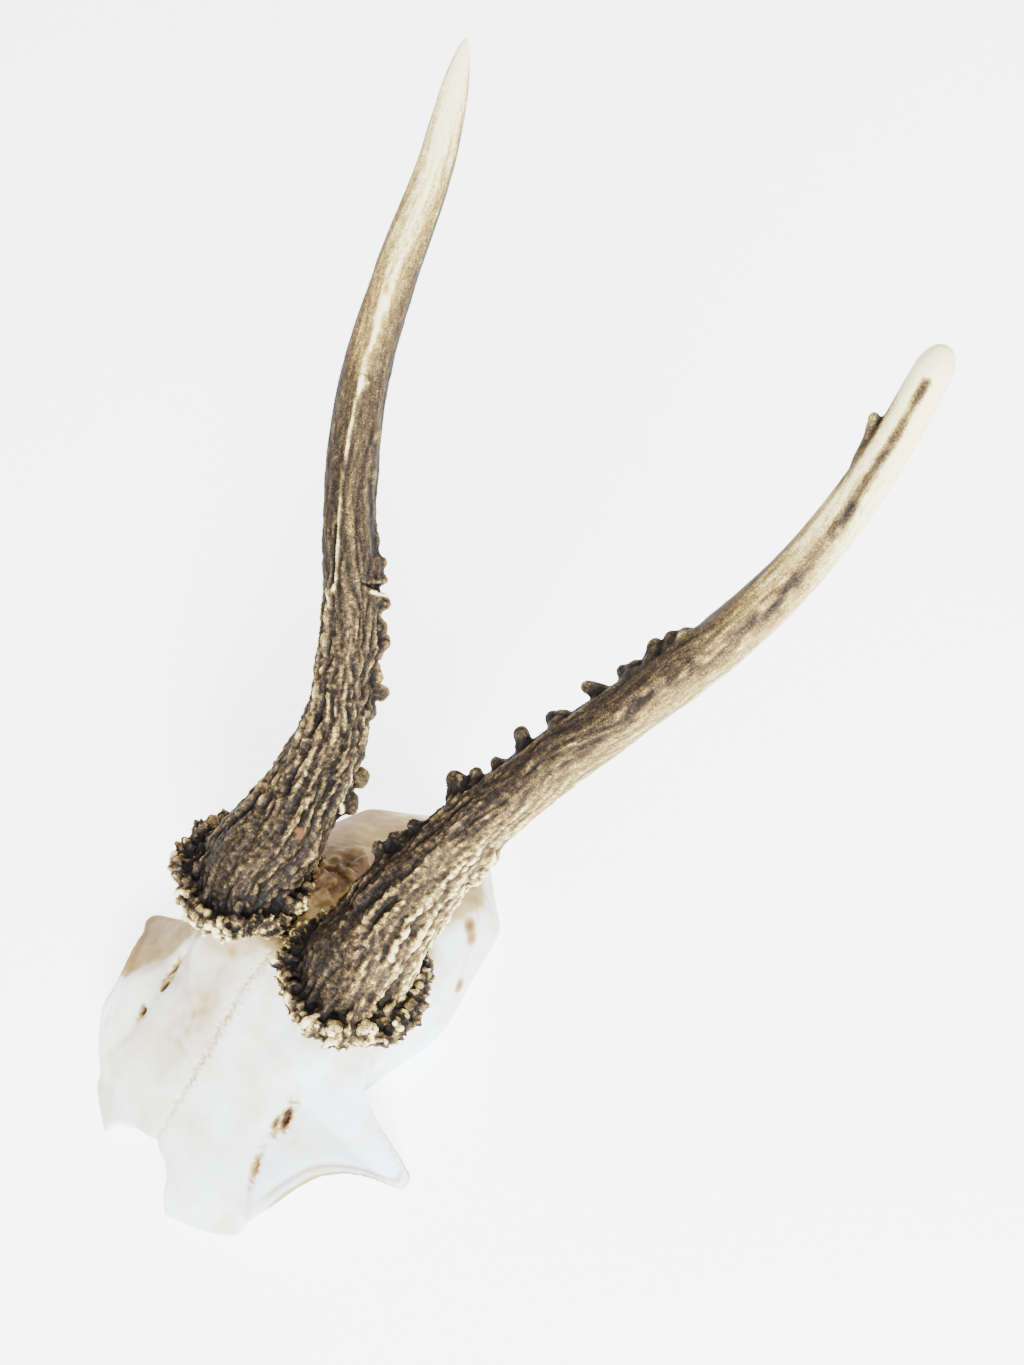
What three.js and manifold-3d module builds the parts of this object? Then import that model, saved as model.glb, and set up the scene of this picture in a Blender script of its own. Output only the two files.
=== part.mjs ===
import * as THREE from 'three';
import { mergeVertices } from 'three/addons/utils/BufferGeometryUtils.js';
import Module from 'manifold-3d';

// A roe buck's sawn skull cap with its two antlers. Millimetres, +Z up.
// The nose side faces -Y, the animal's left is +X, and the saw cut lies in the plane z = 0.

const wasm = await Module();
wasm.setup();

// Driving dimensions of the skull cap, each row a list of [y, value] pairs from front to back.
const cap = {
  front: -74,
  plateBack: 12,
  back: 60.6,
  wall: 3.2,
  plateThick: 3.6,
  plateCore: 12,
  underPlate: 1.6,
  saw: 6,
  // height of the midline above the saw cut
  crown: [[-78, 2.6], [-61, 12.2], [-34, 26.4], [-12, 36.6], [0, 41], [9, 42.2], [22, 38.6],
    [34, 31], [45, 21], [54, 11.4], [58.6, 5.4], [60.6, 1.6]],
  // half width of the frontal plate, out to the orbital rim and the tip of the postorbital process
  plateHalf: [[-78, 11], [-73.6, 15], [-71, 21], [-67, 28.4], [-64, 31.6], [-58, 33.6], [-51, 37],
    [-44, 39.2], [-37.5, 41.6], [-32, 45.4], [-28, 50], [-25.8, 54.2], [-24, 57.2], [-22, 57],
    [-20, 53.6], [-17.4, 46], [-14.7, 39.4], [-12.6, 36.2], [-8, 35], [-3, 33], [4, 30], [12, 25]],
  // height of the plate's outer edge
  plateEdge: [[-78, -1], [-71, -0.6], [-64, -0.4], [-58, 8], [-51, 13.8], [-44, 16.4], [-37.5, 16.8],
    [-32, 14.4], [-28, 8.6], [-25.8, 2], [-24, -0.8], [-22, -0.8], [-20, 3], [-17.4, 10],
    [-14.7, 17], [-12.6, 22.5], [-8, 28], [-3, 31.5], [4, 34.5], [12, 36]],
  // how late the plate bends down toward its edge
  plateBend: [[-78, 2.6], [-60, 2], [-43, 1.35], [-30, 1.6], [-12, 2.2], [12, 2.6]],
  // half width of the braincase and of the walls between the orbits
  caseHalf: [[-74, 12], [-64, 15.5], [-50, 18.5], [-36, 19.5], [-27, 22], [-19, 27], [-12, 30.6],
    [-5, 31.8], [0, 33.2], [6, 35], [12, 35.4], [20, 34.2], [30, 31.4], [38, 29.6], [44, 28],
    [51, 19.4], [56.5, 12.4], [59.5, 8], [60.6, 5]],
  // squareness of the braincase's cross-section
  caseSquare: [[-74, 7], [-12, 6], [0, 5], [15, 3], [30, 2.2], [60.6, 2]],
};

// The naso-frontal notch and the broken ends of the nasal processes, as an outline from above.
const notch = [[0, -60.8], [2, -62.2], [5, -63.2], [8.2, -65.6], [9.4, -69.2], [11.6, -73], [12, -84],
  [-23, -84], [-20, -73.4], [-17.6, -71.6], [-15.6, -68.3], [-12, -65.2], [-7, -63.2], [-2.2, -61.9]];

// Blood-vessel openings in the forehead: place from above, length, width, turn in degrees.
const foramina = [
  { x: 26.4, y: -31.9, long: 6.4, wide: 2.4, turn: 107 },
  { x: 25.1, y: -34.6, long: 3, wide: 1.6, turn: 107 },
  { x: 27.6, y: -46.4, long: 5.5, wide: 1.6, turn: 107 },
  { x: -28.6, y: -26.2, long: 4.4, wide: 2.4, turn: 94 },
  { x: -26.6, y: -31.2, long: 4, wide: 2.2, turn: 94 },
  { x: -27.4, y: -40.3, long: 3, wide: 2.4, turn: 94 },
];

// The burr, the knobbly collar where an antler meets the bone: centre, radii and lean of its face.
const burr = {
  centre: [21.6, 6.4, 43.2],
  across: 20.4,
  deep: 19,
  thick: 5.2,
  lean: 18,
  pearls: 16,
  pearlFloor: -1.2,
  pearl: 2.9,
};
const seatGap = 0.4;
const pedicle = { across: 14.5, deep: 13, foot: 15, down: 12 };
const midGap = 0.5;
const farOff = 800;

// The two antlers. A line runs from inside the burr to the tip. Widths are [share of length, width].
// A knob is [share of length, angle around in degrees, height, width]; angle 0 faces up and forward,
// 90 faces the animal's left.
const antlers = {
  antler_left: {
    side: 1,
    line: [[20.9, 4, 39.5], [21, 11.5, 46], [21.5, 30.6, 55], [26.8, 53, 67.4], [36, 73.9, 81.4],
      [46.4, 93.9, 95.9], [56.8, 113.7, 110.5], [64, 133.6, 126.3], [67.4, 152.8, 143.8],
      [68, 170.7, 163.2]],
    widths: [[0, 29], [0.06, 27], [0.12, 23.4], [0.2, 19], [0.3, 16.2], [0.4, 15], [0.5, 14],
      [0.6, 12.8], [0.7, 11.6], [0.8, 10.2], [0.9, 9], [0.96, 8.2], [1, 7.6]],
    round: 0.03,
    knobs: [[0.155, -68, 4.6, 5], [0.19, -72, 4.4, 4.6], [0.215, -66, 3.8, 4.2], [0.272, -75, 5.4, 5.4],
      [0.292, -80, 3.4, 4.4], [0.335, -74, 2.4, 3.6], [0.372, -77, 4.4, 4], [0.428, -78, 3.6, 4.6],
      [0.49, -78, 4.4, 3.8], [0.535, -78, 2.8, 4.4], [0.56, -78, 3.4, 4.6], [0.585, -77, 2.6, 4.4],
      [0.605, -76, 1.6, 4], [0.225, 104, 2.6, 5], [0.25, 96, 1.6, 4]],
    spur: { at: 0.862, angle: -74, length: 13, width: 4.4 },
  },
  antler_right: {
    side: -1,
    line: [[-20.8, 4, 39.2], [-20.6, 11.6, 45.8], [-20.3, 30.9, 54.8], [-25.2, 53.8, 67.8],
      [-35.8, 73.8, 83], [-49.1, 92.4, 98.5], [-59.6, 112.9, 114.1], [-65.4, 135.4, 129.9],
      [-67.6, 157.3, 147.3], [-70.3, 176.8, 168.9]],
    widths: [[0, 29], [0.06, 27], [0.12, 23], [0.18, 18.6], [0.25, 15.6], [0.35, 14.6], [0.5, 13.7],
      [0.6, 12.9], [0.7, 11.7], [0.8, 10.4], [0.9, 8.4], [0.95, 6.6], [1, 1.6]],
    round: 0.012,
    knobs: [[0.15, 122, 3.8, 5], [0.178, 124, 4, 4.4], [0.215, 124, 2.6, 4.4], [0.258, 127, 2.4, 4.4],
      [0.278, 128, 5, 4.6], [0.3, 128, 2.6, 4], [0.325, 128, 4.2, 4], [0.352, 129, 3.2, 3.8],
      [0.372, 129, 3.6, 4], [0.388, 129, 3.4, 4.4], [0.56, 129, 1.2, 3.2], [0.62, -51, 1.2, 3.2]],
  },
};

const beam = { sides: 11, rings: 26, forward: new THREE.Vector3(0, -0.6, 0.8) };

// A smooth value through [place, value] pairs, level at a peak, held at both ends.
function through(pairs, at) {
  if (at <= pairs[0][0]) return pairs[0][1];
  const last = pairs.length - 1;
  if (at >= pairs[last][0]) return pairs[last][1];
  let i = 0;
  while (pairs[i + 1][0] < at) i += 1;
  const rise = (k) => (pairs[k + 1][1] - pairs[k][1]) / (pairs[k + 1][0] - pairs[k][0]);
  const slope = (k) => {
    if (k === 0) return rise(0);
    if (k === last) return rise(last - 1);
    return rise(k - 1) * rise(k) <= 0 ? 0 : 2 / (1 / rise(k - 1) + 1 / rise(k));
  };
  const span = pairs[i + 1][0] - pairs[i][0];
  const t = (at - pairs[i][0]) / span;
  const s = 1 - t;
  return s * s * (1 + 2 * t) * pairs[i][1] + t * t * (3 - 2 * t) * pairs[i + 1][1]
    + s * s * t * span * slope(i) - s * t * t * span * slope(i + 1);
}

// Outer surface of the frontal plate at a point seen from above.
function plateHeight(x, y) {
  const half = through(cap.plateHalf, y);
  const share = Math.min(Math.abs(x) / half, 1);
  const top = through(cap.crown, y);
  const edge = through(cap.plateEdge, y);
  const ease = 1 - THREE.MathUtils.smoothstep(y, -26, -10);
  const groove = 1.2 * ease * Math.exp(-(((Math.abs(x) - 27.5) / 4.4) ** 2));
  const inset = THREE.MathUtils.smoothstep(half - Math.abs(x), 0, 7);
  return top - (top - edge) * share ** through(cap.plateBend, y) - groove * inset;
}

// Turns a closed geometry into a solid that can be cut and joined.
function solid(geometry) {
  const bare = geometry.clone();
  bare.deleteAttribute('normal');
  bare.deleteAttribute('uv');
  const merged = mergeVertices(bare, 1e-3);
  const vertProperties = new Float32Array(merged.attributes.position.array);
  const triVerts = new Uint32Array(merged.index.array);
  return new wasm.Manifold(new wasm.Mesh({ numProp: 3, vertProperties, triVerts }));
}

function bend(geometry, place) {
  const points = geometry.attributes.position;
  const point = new THREE.Vector3();
  for (let i = 0; i < points.count; i += 1) {
    point.fromBufferAttribute(points, i);
    place(point);
    points.setXYZ(i, point.x, point.y, point.z);
  }
  return geometry;
}

// A unit box laid out across, along and up.
function slab(columns, rows) {
  return new THREE.BoxGeometry(2, 1, 1, columns, rows, 1);
}

function plateSolid() {
  const geometry = bend(slab(12, 22), (p) => {
    const y = THREE.MathUtils.lerp(cap.front, cap.plateBack, p.y + 0.5);
    const x = p.x * through(cap.plateHalf, y);
    const top = plateHeight(x, y);
    const core = cap.plateCore * THREE.MathUtils.smoothstep(y, -14, -2);
    const thick = cap.plateThick * (1 - 0.25 * Math.abs(p.x)) + core;
    p.set(x, y, p.z > 0 ? top : top - thick);
  });
  return solid(geometry);
}

// The braincase and the walls between the orbits, drawn in all round by a given amount.
function caseSolid(shape) {
  const geometry = bend(slab(shape.columns, shape.rows), (p) => {
    const y = THREE.MathUtils.lerp(shape.front, shape.back, p.y + 0.5);
    const station = y > 0 ? (y * cap.back) / (cap.back - shape.inset) : y;
    const half = Math.max(through(cap.caseHalf, station) - shape.inset, 0.8);
    const turn = p.x * (Math.PI / 2);
    const square = through(cap.caseSquare, y);
    const underPlate = cap.underPlate * (1 - THREE.MathUtils.smoothstep(y, -8, 4));
    const underBurrs = shape.underBurrs * Math.exp(-(((y - 14) / 18) ** 2));
    const top = Math.max(through(cap.crown, station) - shape.inset - underPlate - underBurrs, 1);
    const x = half * Math.sign(turn) * Math.abs(Math.sin(turn)) ** (2 / square);
    const z = top * Math.cos(turn) ** (2 / Math.max(square, 2));
    p.set(x, y, p.z > 0 ? z : shape.floor);
  });
  return solid(geometry);
}

function notchSolid() {
  const outline = new THREE.Shape(notch.map(([x, y]) => new THREE.Vector2(x, y)));
  const geometry = new THREE.ExtrudeGeometry(outline, { depth: 40, bevelEnabled: false });
  geometry.translate(0, 0, -cap.saw);
  return solid(geometry);
}

function foramenSolid(hole) {
  const geometry = new THREE.SphereGeometry(1, 8, 6);
  geometry.scale(hole.long / 2, hole.wide / 2, 2.2);
  geometry.rotateZ(THREE.MathUtils.degToRad(hole.turn));
  geometry.translate(hole.x, hole.y, plateHeight(hole.x, hole.y) + 0.6);
  return solid(geometry);
}

function blob(point, size, turn, faces = THREE.IcosahedronGeometry) {
  const geometry = new faces(size, 0);
  geometry.rotateX(turn);
  geometry.rotateY(turn * 1.7);
  geometry.translate(point.x, point.y, point.z);
  return solid(geometry);
}

// The burr's own directions: across, down the slope of the forehead, and out of its face.
function burrFrame(side) {
  const lean = THREE.MathUtils.degToRad(burr.lean);
  return {
    centre: new THREE.Vector3(side * burr.centre[0], burr.centre[1], burr.centre[2]),
    across: new THREE.Vector3(side, 0, 0),
    down: new THREE.Vector3(0, -Math.cos(lean), Math.sin(lean)),
    out: new THREE.Vector3(0, Math.sin(lean), Math.cos(lean)),
  };
}

function burrPoint(frame, a, b, c) {
  return frame.centre.clone().addScaledVector(frame.across, a).addScaledVector(frame.down, b)
    .addScaledVector(frame.out, c);
}

// The rim's reach at an angle: a rounded oval that swells and narrows a little.
function burrReach(angle, side) {
  return 1 + 0.03 * Math.sin(5 * angle + side) + 0.02 * Math.sin(9 * angle - 2 * side);
}

function burrSolid(side, grow) {
  const frame = burrFrame(side);
  const flip = side < 0;
  const geometry = bend(new THREE.SphereGeometry(1, 20, 6), (p) => {
    const angle = Math.atan2(p.z, p.x);
    const flat = Math.hypot(p.x, p.z);
    const reach = flat ** 0.55 * burrReach(angle, side);
    const a = Math.cos(angle) * reach * (burr.across + grow);
    const b = Math.sin(angle) * reach * (burr.deep + grow);
    const c = p.y * (burr.thick + grow);
    p.copy(burrPoint(frame, flip ? -a : a, b, c));
  });
  return solid(geometry);
}

function pedicleSolid(side) {
  const frame = burrFrame(side);
  const geometry = bend(new THREE.CylinderGeometry(1, 1, 1, 16, 1), (p) => {
    const level = 0.5 - p.y;
    const swell = level * (pedicle.foot - pedicle.across);
    const a = p.x * (pedicle.across + swell);
    const b = p.z * (pedicle.deep + swell);
    p.copy(burrPoint(frame, a * side, b, -level * pedicle.down));
  });
  return solid(geometry);
}

function beamPlace(antler, curve, share) {
  const centre = curve.getPointAt(share);
  const along = curve.getTangentAt(share);
  const front = beam.forward.clone().addScaledVector(along, -beam.forward.dot(along)).normalize();
  const left = new THREE.Vector3().crossVectors(along, front);
  return { centre, along, front, left, radius: through(antler.widths, share) / 2 };
}

function beamPoint(place, angle, reach) {
  return place.centre.clone().addScaledVector(place.front, Math.cos(angle) * reach)
    .addScaledVector(place.left, Math.sin(angle) * reach);
}

// Spreads the rings along the beam, with the last few close together at the tip.
function ringShare(even, round) {
  const tipRings = 0.16;
  const tipStart = 1 - 1.6 * round;
  if (even < 1 - tipRings) return (even / (1 - tipRings)) * tipStart;
  return tipStart + ((even - 1 + tipRings) / tipRings) * (1 - tipStart);
}

function beamSolid(antler, curve) {
  const shape = new THREE.CylinderGeometry(1, 1, 1, beam.sides, beam.rings);
  const geometry = bend(shape, (p) => {
    const share = ringShare(p.y + 0.5, antler.round);
    const angle = Math.atan2(p.x, p.z);
    const place = beamPlace(antler, curve, share);
    const end = Math.max((share - (1 - antler.round)) / antler.round, 0);
    const tip = Math.sqrt(Math.max(1 - end * end, 0.02));
    const rough = 0.05 * Math.max(1 - 1.4 * share, 0);
    const ribs = 1 + rough * Math.sin(5 * angle + 9 * share) + rough * Math.sin(3 * angle - 20 * share);
    const reach = Math.hypot(p.x, p.z) * place.radius * tip * ribs;
    p.copy(beamPoint(place, angle, reach));
  });
  return solid(geometry);
}

function knobSolid(antler, curve, knob) {
  const [share, degrees, height, width] = knob;
  const place = beamPlace(antler, curve, share);
  const angle = THREE.MathUtils.degToRad(degrees);
  const size = width / 2;
  const point = beamPoint(place, angle, place.radius + height - size);
  const root = beamPoint(place, angle, place.radius - size);
  const tip = blob(point, size, share * 40);
  return wasm.Manifold.hull([tip, blob(root, size * 1.35, share * 25, THREE.OctahedronGeometry)]);
}

function spurSolid(antler, curve, spur) {
  const place = beamPlace(antler, curve, spur.at);
  const angle = THREE.MathUtils.degToRad(spur.angle);
  const base = beamPoint(place, angle, place.radius - spur.width * 0.45);
  const tip = beamPoint(place, angle, place.radius + spur.width * 0.3)
    .addScaledVector(place.along, spur.length);
  return wasm.Manifold.hull([blob(base, spur.width / 2, 0.4), blob(tip, spur.width / 5, 0.9)]);
}

// Pearls stand round the rim of the burr and lie in rows over its face.
function burrPearls(side) {
  const frame = burrFrame(side);
  const pearls = [];
  for (let i = 0; i < burr.pearls; i += 1) {
    const angle = (i / burr.pearls) * 2 * Math.PI;
    const size = burr.pearl * (0.8 + 0.25 * Math.sin(i * 2.4 + side));
    const reach = burrReach(angle, side) * 0.97;
    const a = Math.cos(angle) * burr.across * reach;
    const b = Math.sin(angle) * burr.deep * reach;
    pearls.push(blob(burrPoint(frame, a, b, 0.6 + 1.8 * Math.sin(i * 1.7)), size, i));
  }
  for (let i = 0; i < 7; i += 1) {
    const angle = 0.2 + i * 0.44;
    const a = Math.cos(angle) * burr.across * 0.78;
    const b = Math.sin(angle) * burr.deep * 0.78;
    const size = 2.5 + 0.4 * Math.sin(i * 3.1);
    pearls.push(blob(burrPoint(frame, a, b, 4.6), size, i * 1.3, THREE.OctahedronGeometry));
  }
  return pearls;
}

// Small lumps scattered over the lower third of the beam.
function beamPearls(antler, curve) {
  const lumps = [];
  for (let i = 0; i < 9; i += 1) {
    const share = 0.1 + 0.025 * i;
    const angle = i * 2.4;
    const place = beamPlace(antler, curve, share);
    const point = beamPoint(place, angle, place.radius - 0.3);
    lumps.push(blob(point, 2.3 - 0.03 * i, i * 0.9, THREE.OctahedronGeometry));
  }
  return lumps;
}

function sideSolid(side) {
  const geometry = new THREE.BoxGeometry(farOff, farOff, farOff);
  geometry.translate(side * (farOff / 2 + midGap), 0, 0);
  return solid(geometry);
}

function antlerSolid(antler) {
  const curve = new THREE.CatmullRomCurve3(antler.line.map((p) => new THREE.Vector3(...p)));
  curve.arcLengthDivisions = 400;
  const growth = wasm.Manifold.union([beamSolid(antler, curve), ...burrPearls(antler.side)]);
  const pieces = [
    burrSolid(antler.side, 0),
    growth.intersect(aboveBurr(antler.side, burr.pearlFloor)),
    ...beamPearls(antler, curve),
    ...antler.knobs.map((knob) => knobSolid(antler, curve, knob)),
  ];
  if (antler.spur) pieces.push(spurSolid(antler, curve, antler.spur));
  return wasm.Manifold.union(pieces).intersect(sideSolid(antler.side));
}

// Everything on the open side of a plane that lies across the burr, some way up its thickness.
function aboveBurr(side, level) {
  const frame = burrFrame(side);
  const half = new THREE.BoxGeometry(farOff, farOff, farOff);
  half.translate(0, 0, farOff / 2 + level);
  return solid(bend(half, (p) => p.copy(burrPoint(frame, side * p.x, -p.y, p.z))));
}

// What the bone keeps clear of: the burr's underside, and above it the ring of pearls.
function seatSolid(side) {
  const ring = burrSolid(side, burr.pearl + seatGap).intersect(aboveBurr(side, burr.pearlFloor - seatGap));
  return burrSolid(side, seatGap).add(ring);
}

// Rough bone that has grown up between the burrs.
function boneLumps() {
  const lumps = [];
  for (let i = 0; i < 7; i += 1) {
    const x = 3.4 * Math.sin(i * 2.3);
    const y = 17 + 1.4 * i;
    lumps.push(blob(new THREE.Vector3(x, y, through(cap.crown, y) + 0.4), 2.6, i));
  }
  return lumps;
}

function skullSolid() {
  const outer = caseSolid({ front: cap.front + 6, back: cap.back, inset: 0, underBurrs: 0, floor: -cap.saw,
    columns: 12, rows: 18 });
  const brain = caseSolid({ front: -20, back: cap.back - cap.wall, inset: cap.wall, underBurrs: 6,
    floor: -2 * cap.saw, columns: 10, rows: 10 });
  const nose = caseSolid({ front: -84, back: -24, inset: cap.wall, underBurrs: 0, floor: -2 * cap.saw,
    columns: 6, rows: 5 });
  const ground = new THREE.BoxGeometry(farOff, farOff, farOff);
  ground.translate(0, 0, -farOff / 2);
  const bone = [outer, plateSolid(), pedicleSolid(1), pedicleSolid(-1), ...boneLumps()];
  const cuts = [brain, nose, notchSolid(), solid(ground), seatSolid(1), seatSolid(-1)];
  return wasm.Manifold.union(bone).subtract(wasm.Manifold.union([...cuts, ...foramina.map(foramenSolid)]));
}

function meshOf(name, body, colour, roughness) {
  const { vertProperties, triVerts } = body.getMesh();
  const geometry = new THREE.BufferGeometry();
  geometry.setAttribute('position', new THREE.BufferAttribute(vertProperties.slice(), 3));
  geometry.setIndex(new THREE.BufferAttribute(triVerts.slice(), 1));
  geometry.computeVertexNormals();
  const material = new THREE.MeshStandardMaterial({ color: colour, roughness, metalness: 0 });
  const mesh = new THREE.Mesh(geometry, material);
  mesh.name = name;
  return mesh;
}

const group = new THREE.Group();
group.add(meshOf('skull_cap', skullSolid(), 0xf0ebe0, 0.62));
group.add(meshOf('antler_left', antlerSolid(antlers.antler_left), 0x8a6c48, 0.7));
group.add(meshOf('antler_right', antlerSolid(antlers.antler_right), 0x8a6c48, 0.7));

// The origin is the middle of the footprint, at the saw cut.
const box = new THREE.Box3().setFromObject(group);
const middle = box.getCenter(new THREE.Vector3());
group.position.set(-middle.x, -middle.y, -box.min.z);

export default group;
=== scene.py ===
import bisect
import math
import random

import bmesh
import bpy
from mathutils import Matrix, Vector, geometry, kdtree, noise


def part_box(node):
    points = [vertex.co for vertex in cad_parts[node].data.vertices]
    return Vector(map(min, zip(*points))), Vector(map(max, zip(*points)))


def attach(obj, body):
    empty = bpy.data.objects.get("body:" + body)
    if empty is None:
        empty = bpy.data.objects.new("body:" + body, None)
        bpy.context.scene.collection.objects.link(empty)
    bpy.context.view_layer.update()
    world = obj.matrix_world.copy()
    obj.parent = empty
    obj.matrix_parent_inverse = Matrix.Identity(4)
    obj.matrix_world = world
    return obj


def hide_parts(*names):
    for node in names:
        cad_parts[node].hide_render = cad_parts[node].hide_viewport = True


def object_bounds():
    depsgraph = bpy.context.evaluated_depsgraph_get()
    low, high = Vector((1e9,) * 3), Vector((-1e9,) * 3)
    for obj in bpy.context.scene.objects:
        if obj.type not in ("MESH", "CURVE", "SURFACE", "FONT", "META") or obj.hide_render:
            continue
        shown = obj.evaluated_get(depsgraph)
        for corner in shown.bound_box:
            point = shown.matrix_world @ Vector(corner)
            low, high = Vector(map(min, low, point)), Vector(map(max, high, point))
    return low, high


# A roe buck's sawn skull cap with its two antlers.
# Shapes are worked out in millimetres in the skull's own frame: the nose faces -Y, the animal's
# left is +X and the saw cut lies in z = 0. finishPiece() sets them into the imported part, in metres.

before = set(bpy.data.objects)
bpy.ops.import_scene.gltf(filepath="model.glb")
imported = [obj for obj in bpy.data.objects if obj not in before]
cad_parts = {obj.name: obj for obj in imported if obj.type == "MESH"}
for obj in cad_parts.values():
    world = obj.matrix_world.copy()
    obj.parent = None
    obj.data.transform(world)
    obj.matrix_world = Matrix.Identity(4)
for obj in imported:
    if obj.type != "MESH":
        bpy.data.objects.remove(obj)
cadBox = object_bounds()
millimetre = 0.001

skull = {
    "front": -74,
    "plateBack": 12,
    "back": 60.6,
    "wall": 3.2,
    "plateThick": 3.6,
    "plateCore": 12,
    "underPlate": 1.6,
    "saw": 6,
    # [y, value] pairs from front to back
    "crown": [[-78, 2.6], [-61, 12.2], [-34, 26.4], [-12, 36.6], [0, 41], [9, 42.2], [22, 38.6],
              [34, 31], [45, 21], [54, 11.4], [58.6, 5.4], [60.6, 1.6]],
    "plateHalf": [[-78, 11], [-73.6, 15], [-71, 21], [-67, 28.4], [-64, 31.6], [-58, 33.6],
                  [-51, 37], [-44, 39.2], [-37.5, 41.6], [-32, 45.4], [-28, 50], [-25.8, 54.2],
                  [-24, 57.2], [-22, 57], [-20, 53.6], [-17.4, 46], [-14.7, 39.4], [-12.6, 36.2],
                  [-8, 35], [-3, 33], [4, 30], [12, 25]],
    "plateEdge": [[-78, -1], [-71, -0.6], [-64, -0.4], [-58, 8], [-51, 13.8], [-44, 16.4],
                  [-37.5, 16.8], [-32, 14.4], [-28, 8.6], [-25.8, 2], [-24, -0.8], [-22, -0.8],
                  [-20, 3], [-17.4, 10], [-14.7, 17], [-12.6, 22.5], [-8, 28], [-3, 31.5],
                  [4, 34.5], [12, 36]],
    "plateBend": [[-78, 2.6], [-60, 2], [-43, 1.35], [-30, 1.6], [-12, 2.2], [12, 2.6]],
    "caseHalf": [[-74, 12], [-64, 15.5], [-50, 18.5], [-36, 19.5], [-27, 22], [-19, 27],
                 [-12, 30.6], [-5, 31.8], [0, 33.2], [6, 35], [12, 35.4], [20, 34.2], [30, 31.4],
                 [38, 29.6], [44, 28], [51, 19.4], [56.5, 12.4], [59.5, 8], [60.6, 5]],
    "caseSquare": [[-74, 7], [-12, 6], [0, 5], [15, 3], [30, 2.2], [60.6, 2]],
    # the naso-frontal notch, an outline from above
    "notch": [[0, -60.8], [2, -62.2], [5, -63.2], [8.2, -65.6], [9.4, -69.2], [11.6, -73],
              [12, -84], [-23, -84], [-20, -73.4], [-17.6, -71.6], [-15.6, -68.3], [-12, -65.2],
              [-7, -63.2], [-2.2, -61.9]],
    "voxel": 0.7,
    "curves": ["crown", "plateHalf", "plateEdge", "plateBend", "caseHalf", "caseSquare"],
}

# Blood-vessel openings in the forehead: place from above, length, width, turn in degrees, depth, stain.
foramina = [
    {"x": 26.4, "y": -31.9, "long": 6.4, "wide": 1.7, "turn": 107, "deep": 2.2, "stain": 0.85},
    {"x": 25.1, "y": -34.6, "long": 3, "wide": 0.9, "turn": 107, "deep": 1.0, "stain": 0.6},
    {"x": 27.6, "y": -46.4, "long": 5, "wide": 1.2, "turn": 107, "deep": 0.8, "stain": 0.4},
    {"x": -28.6, "y": -26.2, "long": 4.4, "wide": 1.4, "turn": 94, "deep": 1.3, "stain": 0.28},
    {"x": -26.6, "y": -31.2, "long": 3.6, "wide": 1.5, "turn": 94, "deep": 1.6, "stain": 0.95},
    {"x": -27.4, "y": -40.3, "long": 2.6, "wide": 1.7, "turn": 94, "deep": 2.0, "stain": 0.9},
]
# Shallow channels and lines in the bone's surface: a path from above, width, height, stain.
boneLines = [
    {"path": [(27.6, -46.4), (29.6, -52), (33.3, -58.5)], "width": 1.3, "height": -0.45, "stain": 0.14},
    {"path": [(26.4, -32), (24.8, -40), (27, -46)], "width": 1.6, "height": -0.25, "stain": 0.1},
    {"path": [(-27.4, -40.3), (-26.6, -47), (-30.4, -58), (-33, -64)], "width": 1.7, "height": -0.5,
     "stain": 0.1},
    {"path": [(-28.6, -26), (-26.4, -19), (-25, -13)], "width": 1.4, "height": -0.3, "stain": 0.3},
    # painted highlight: this crest line's negative stain keeps its top pale against the painted shade beyond
    # it
    {"path": [(-27, -17), (-30, -24), (-37.3, -38.2), (-38, -47)], "width": 2.4, "height": 0.5,
     "stain": -0.2},
    {"path": [(33, -2), (34.6, -8), (37.7, -13)], "width": 1.5, "height": 0.45, "stain": 0},
]

burr = {
    "centre": [21.6, 6.4, 43.2],
    "across": 20.4,
    "deep": 19,
    "thick": 5.2,
    "lean": 18,
    "seatGap": 0.4,
    # height, reach, half width
    "rimRows": [[4.0, 0.88, 0.85], [2.3, 0.95, 1.0], [0.3, 0.98, 1.0], [-1.8, 0.96, 0.9]],
    "rimPearls": 44,
    "facePearls": 150,
    "strands": 17,
    "longStrands": 0.45,
    "dish": 0.34,
    "dishDark": 0.04,
    "pitDark": 0.26,
    "rimTone": 0.28,
    "rimMottle": 0.85,
}
pedicle = {"across": 14.5, "deep": 13, "foot": 15, "down": 12}


def smooth(low, high, x):
    t = min(max((x - low) / (high - low), 0), 1)
    return t * t * (3 - 2 * t)


def bell(x, width):
    return math.exp(-(x / width) ** 2)


def curve(pairs):
    # a smooth curve through [place, value] pairs, level at a peak and held at both ends
    places = [p for p, _ in pairs]
    values = [v for _, v in pairs]
    rises = [(values[k + 1] - values[k]) / (places[k + 1] - places[k]) for k in range(len(pairs) - 1)]
    slopes = [rises[0]]
    for a, b in zip(rises, rises[1:]):
        slopes.append(0 if a * b <= 0 else 2 / (1 / a + 1 / b))
    slopes.append(rises[-1])

    def valueAt(at):
        i = bisect.bisect_right(places, at) - 1
        if i < 0:
            return values[0]
        if i > len(rises) - 1:
            return values[-1]
        span = places[i + 1] - places[i]
        t = (at - places[i]) / span
        s = 1 - t
        return (s * s * (1 + 2 * t) * values[i] + t * t * (3 - 2 * t) * values[i + 1]
                + s * s * t * span * slopes[i] - s * t * t * span * slopes[i + 1])
    return valueAt


def curvesOf(spec):
    # every list of pairs in a piece's dictionary, ready as a curve
    return {key: curve(spec[key]) for key in spec["curves"]}


def billow(x, y, z):
    # rounded swellings with sharp creases between them, about -1 to 1
    return 3.2 * abs(noise.noise(Vector((x, y, z)))) - 0.8


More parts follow.
